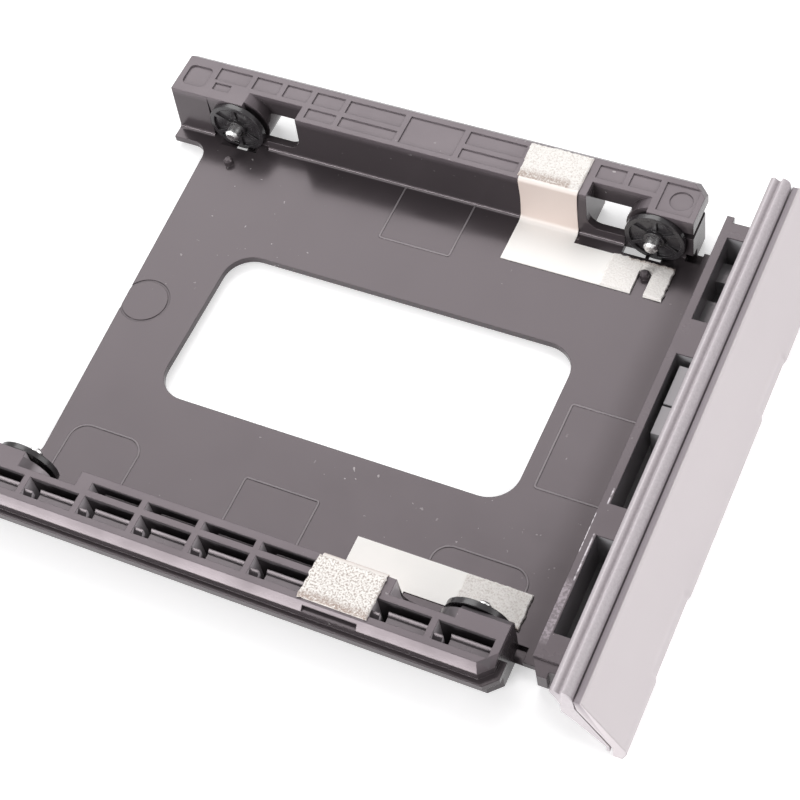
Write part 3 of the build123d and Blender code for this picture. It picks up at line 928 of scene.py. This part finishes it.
coverForm = {
    "outline": [
        (95.55, 11.82, 0.06), (96.44, 11.84, 0.05), (96.67, 12.00, 0.10), (102.95, 0.40, 0.75),
        (102.06, -2.20, 0.25), (100.72, -2.20, 0.06), (100.72, 0.66, 0.05), (95.92, 9.44, 0.05),
    ],
    # painted shadow: the band in the frame ridge's shadow
    "lightShadeAndWear": [(95.2, 1.0), (96.40, 1.0), (96.52, 0.35), (96.6, 0.0)],
    "ends": (-46.5, 46.84),
    "steps": [
        (-34.8, 0.0), (-34.3, 0.26), (-21.0, 0.26), (-20.5, 0.0),
        (11.4, 0.0), (11.9, 0.26), (22.6, 0.26), (23.1, 0.0),
    ],
}


def softOutline(corners):
    # each corner becomes a quadratic curve between the points its own distance away on both sides
    data = np.array(corners)
    place, reach = data[:, :2], data[:, 2:]
    before, after = np.roll(place, 1, 0) - place, np.roll(place, -1, 0) - place
    before = place + before / np.linalg.norm(before, axis=1, keepdims=True) * reach
    after = place + after / np.linalg.norm(after, axis=1, keepdims=True) * reach
    share = np.linspace(0, 1, bezel["bends"])[None, :, None]
    curve = (1 - share) ** 2 * before[:, None] + 2 * share * (1 - share) * place[:, None]
    curve = (curve + share ** 2 * after[:, None]).reshape(-1, 2)
    # long straight runs get points of their own, so that shading and the steps stay local
    closed = np.concatenate([curve, curve[:1]])
    reached = np.concatenate([[0], np.cumsum(np.linalg.norm(np.diff(closed, axis=0), axis=1))])
    extra = np.arange(0, reached[-1], bezel["run"])
    extra = extra[np.abs(extra[:, None] - reached[None]).min(1) > bezel["clear"]]
    along = np.sort(np.concatenate([reached[:-1], extra]))
    return np.stack([np.interp(along, reached, closed[:, axis]) for axis in (0, 1)], 1)


def crestLightShadeAndWear(outline, table):
    # by the table along x on the upper side, and below that the table's last value
    upper = smoothStep(outline[:, 1], bezel["crestFrom"], bezel["crestTo"])
    resting = table[-1, 1]
    return resting + (np.interp(outline[:, 0], table[:, 0], table[:, 1]) - resting) * upper


def bezelPiece(name, form, node):
    # rings of the outline stand along y, and a flat face closes each end
    outline = softOutline(form["outline"])
    y = np.linspace(*form["ends"], bezel["rows"])
    ring = np.repeat(outline[None], len(y), 0)
    if "steps" in form:
        # shallow steps along the foot of the cover, each a run of y with its own setback
        steps = np.array(form["steps"])
        back = np.interp(y, steps[:, 0], steps[:, 1])[:, None]
        ring[:, :, 0] -= back * smoothStep(outline[:, 0], bezel["stepFrom"], bezel["stepTo"])[None]
    count = len(outline)
    ringY = np.repeat(y[:, None], count, 1)
    points = np.stack([ring[:, :, 0] - bezel["tray"], ringY, ring[:, :, 1] + bezel["lift"]], 2)
    index = np.arange(len(y) * count).reshape(len(y), count)
    beside = np.roll(index, -1, 1)
    sides = np.stack([index[:-1], beside[:-1], beside[1:], index[1:]], 2).reshape(-1, 4).tolist()
    caps = [index[0][::-1].tolist(), index[-1].tolist()]
    mesh = bpy.data.meshes.new(name)
    mesh.from_pydata(points.reshape(-1, 3) / perMetre, [], sides + caps)
    work = bmesh.new()
    work.from_mesh(mesh)
    bmesh.ops.recalc_face_normals(work, faces=work.faces)
    work.to_mesh(mesh)
    work.free()
    # painted light and shade, with some wear on the frame, by the outline's place along x
    lightShadeAndWear = crestLightShadeAndWear(outline, np.array(form["lightShadeAndWear"]))
    piece = lightShadeAndWearPiece(name, mesh, np.tile(lightShadeAndWear, len(y)), bezel["sharp"])
    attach(piece, "root")
    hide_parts(node)
    return piece


madeFrame = bezelPiece("bezelFrame", frameForm, "bezel_frame")
madeCover = bezelPiece("bezelCover", coverForm, "bezel_cover")
print("caddy: bezel moulded")
madeTapes = [makeTape(side) for side in tapes]
madePads = [makePad(name, values) for name, values in pads.items()]
print("caddy: tapes and pads cut,", sum(len(piece.data.polygons) for piece in madeTapes + madePads), "faces")

mountPlaces = ["rear_far", "rear_near", "front_far", "front_near"]
coat(["tray"], makeTrayPlastic(trayPlastic))
madeFrame.data.materials.append(makeFramePlastic(framePlastic))
madeCover.data.materials.append(makeCoverPlastic(bezelPlastic))
coat(["grommet_" + place for place in mountPlaces], makeRubber(rubber))
coat(["pin_" + place for place in mountPlaces], makePinSteel(pinSteel))
woven = makeTapeCloth(tapeCloth)
for piece in madeTapes:
    piece.data.materials.append(woven)
grained = {side: makePadCloth(side, padCloth[side], padCloth["both"]) for side in ("far", "near")}
for piece in madePads:
    piece.data.materials.append(grained["near" if "Near" in piece.name else "far"])
print("caddy: finishes laid")
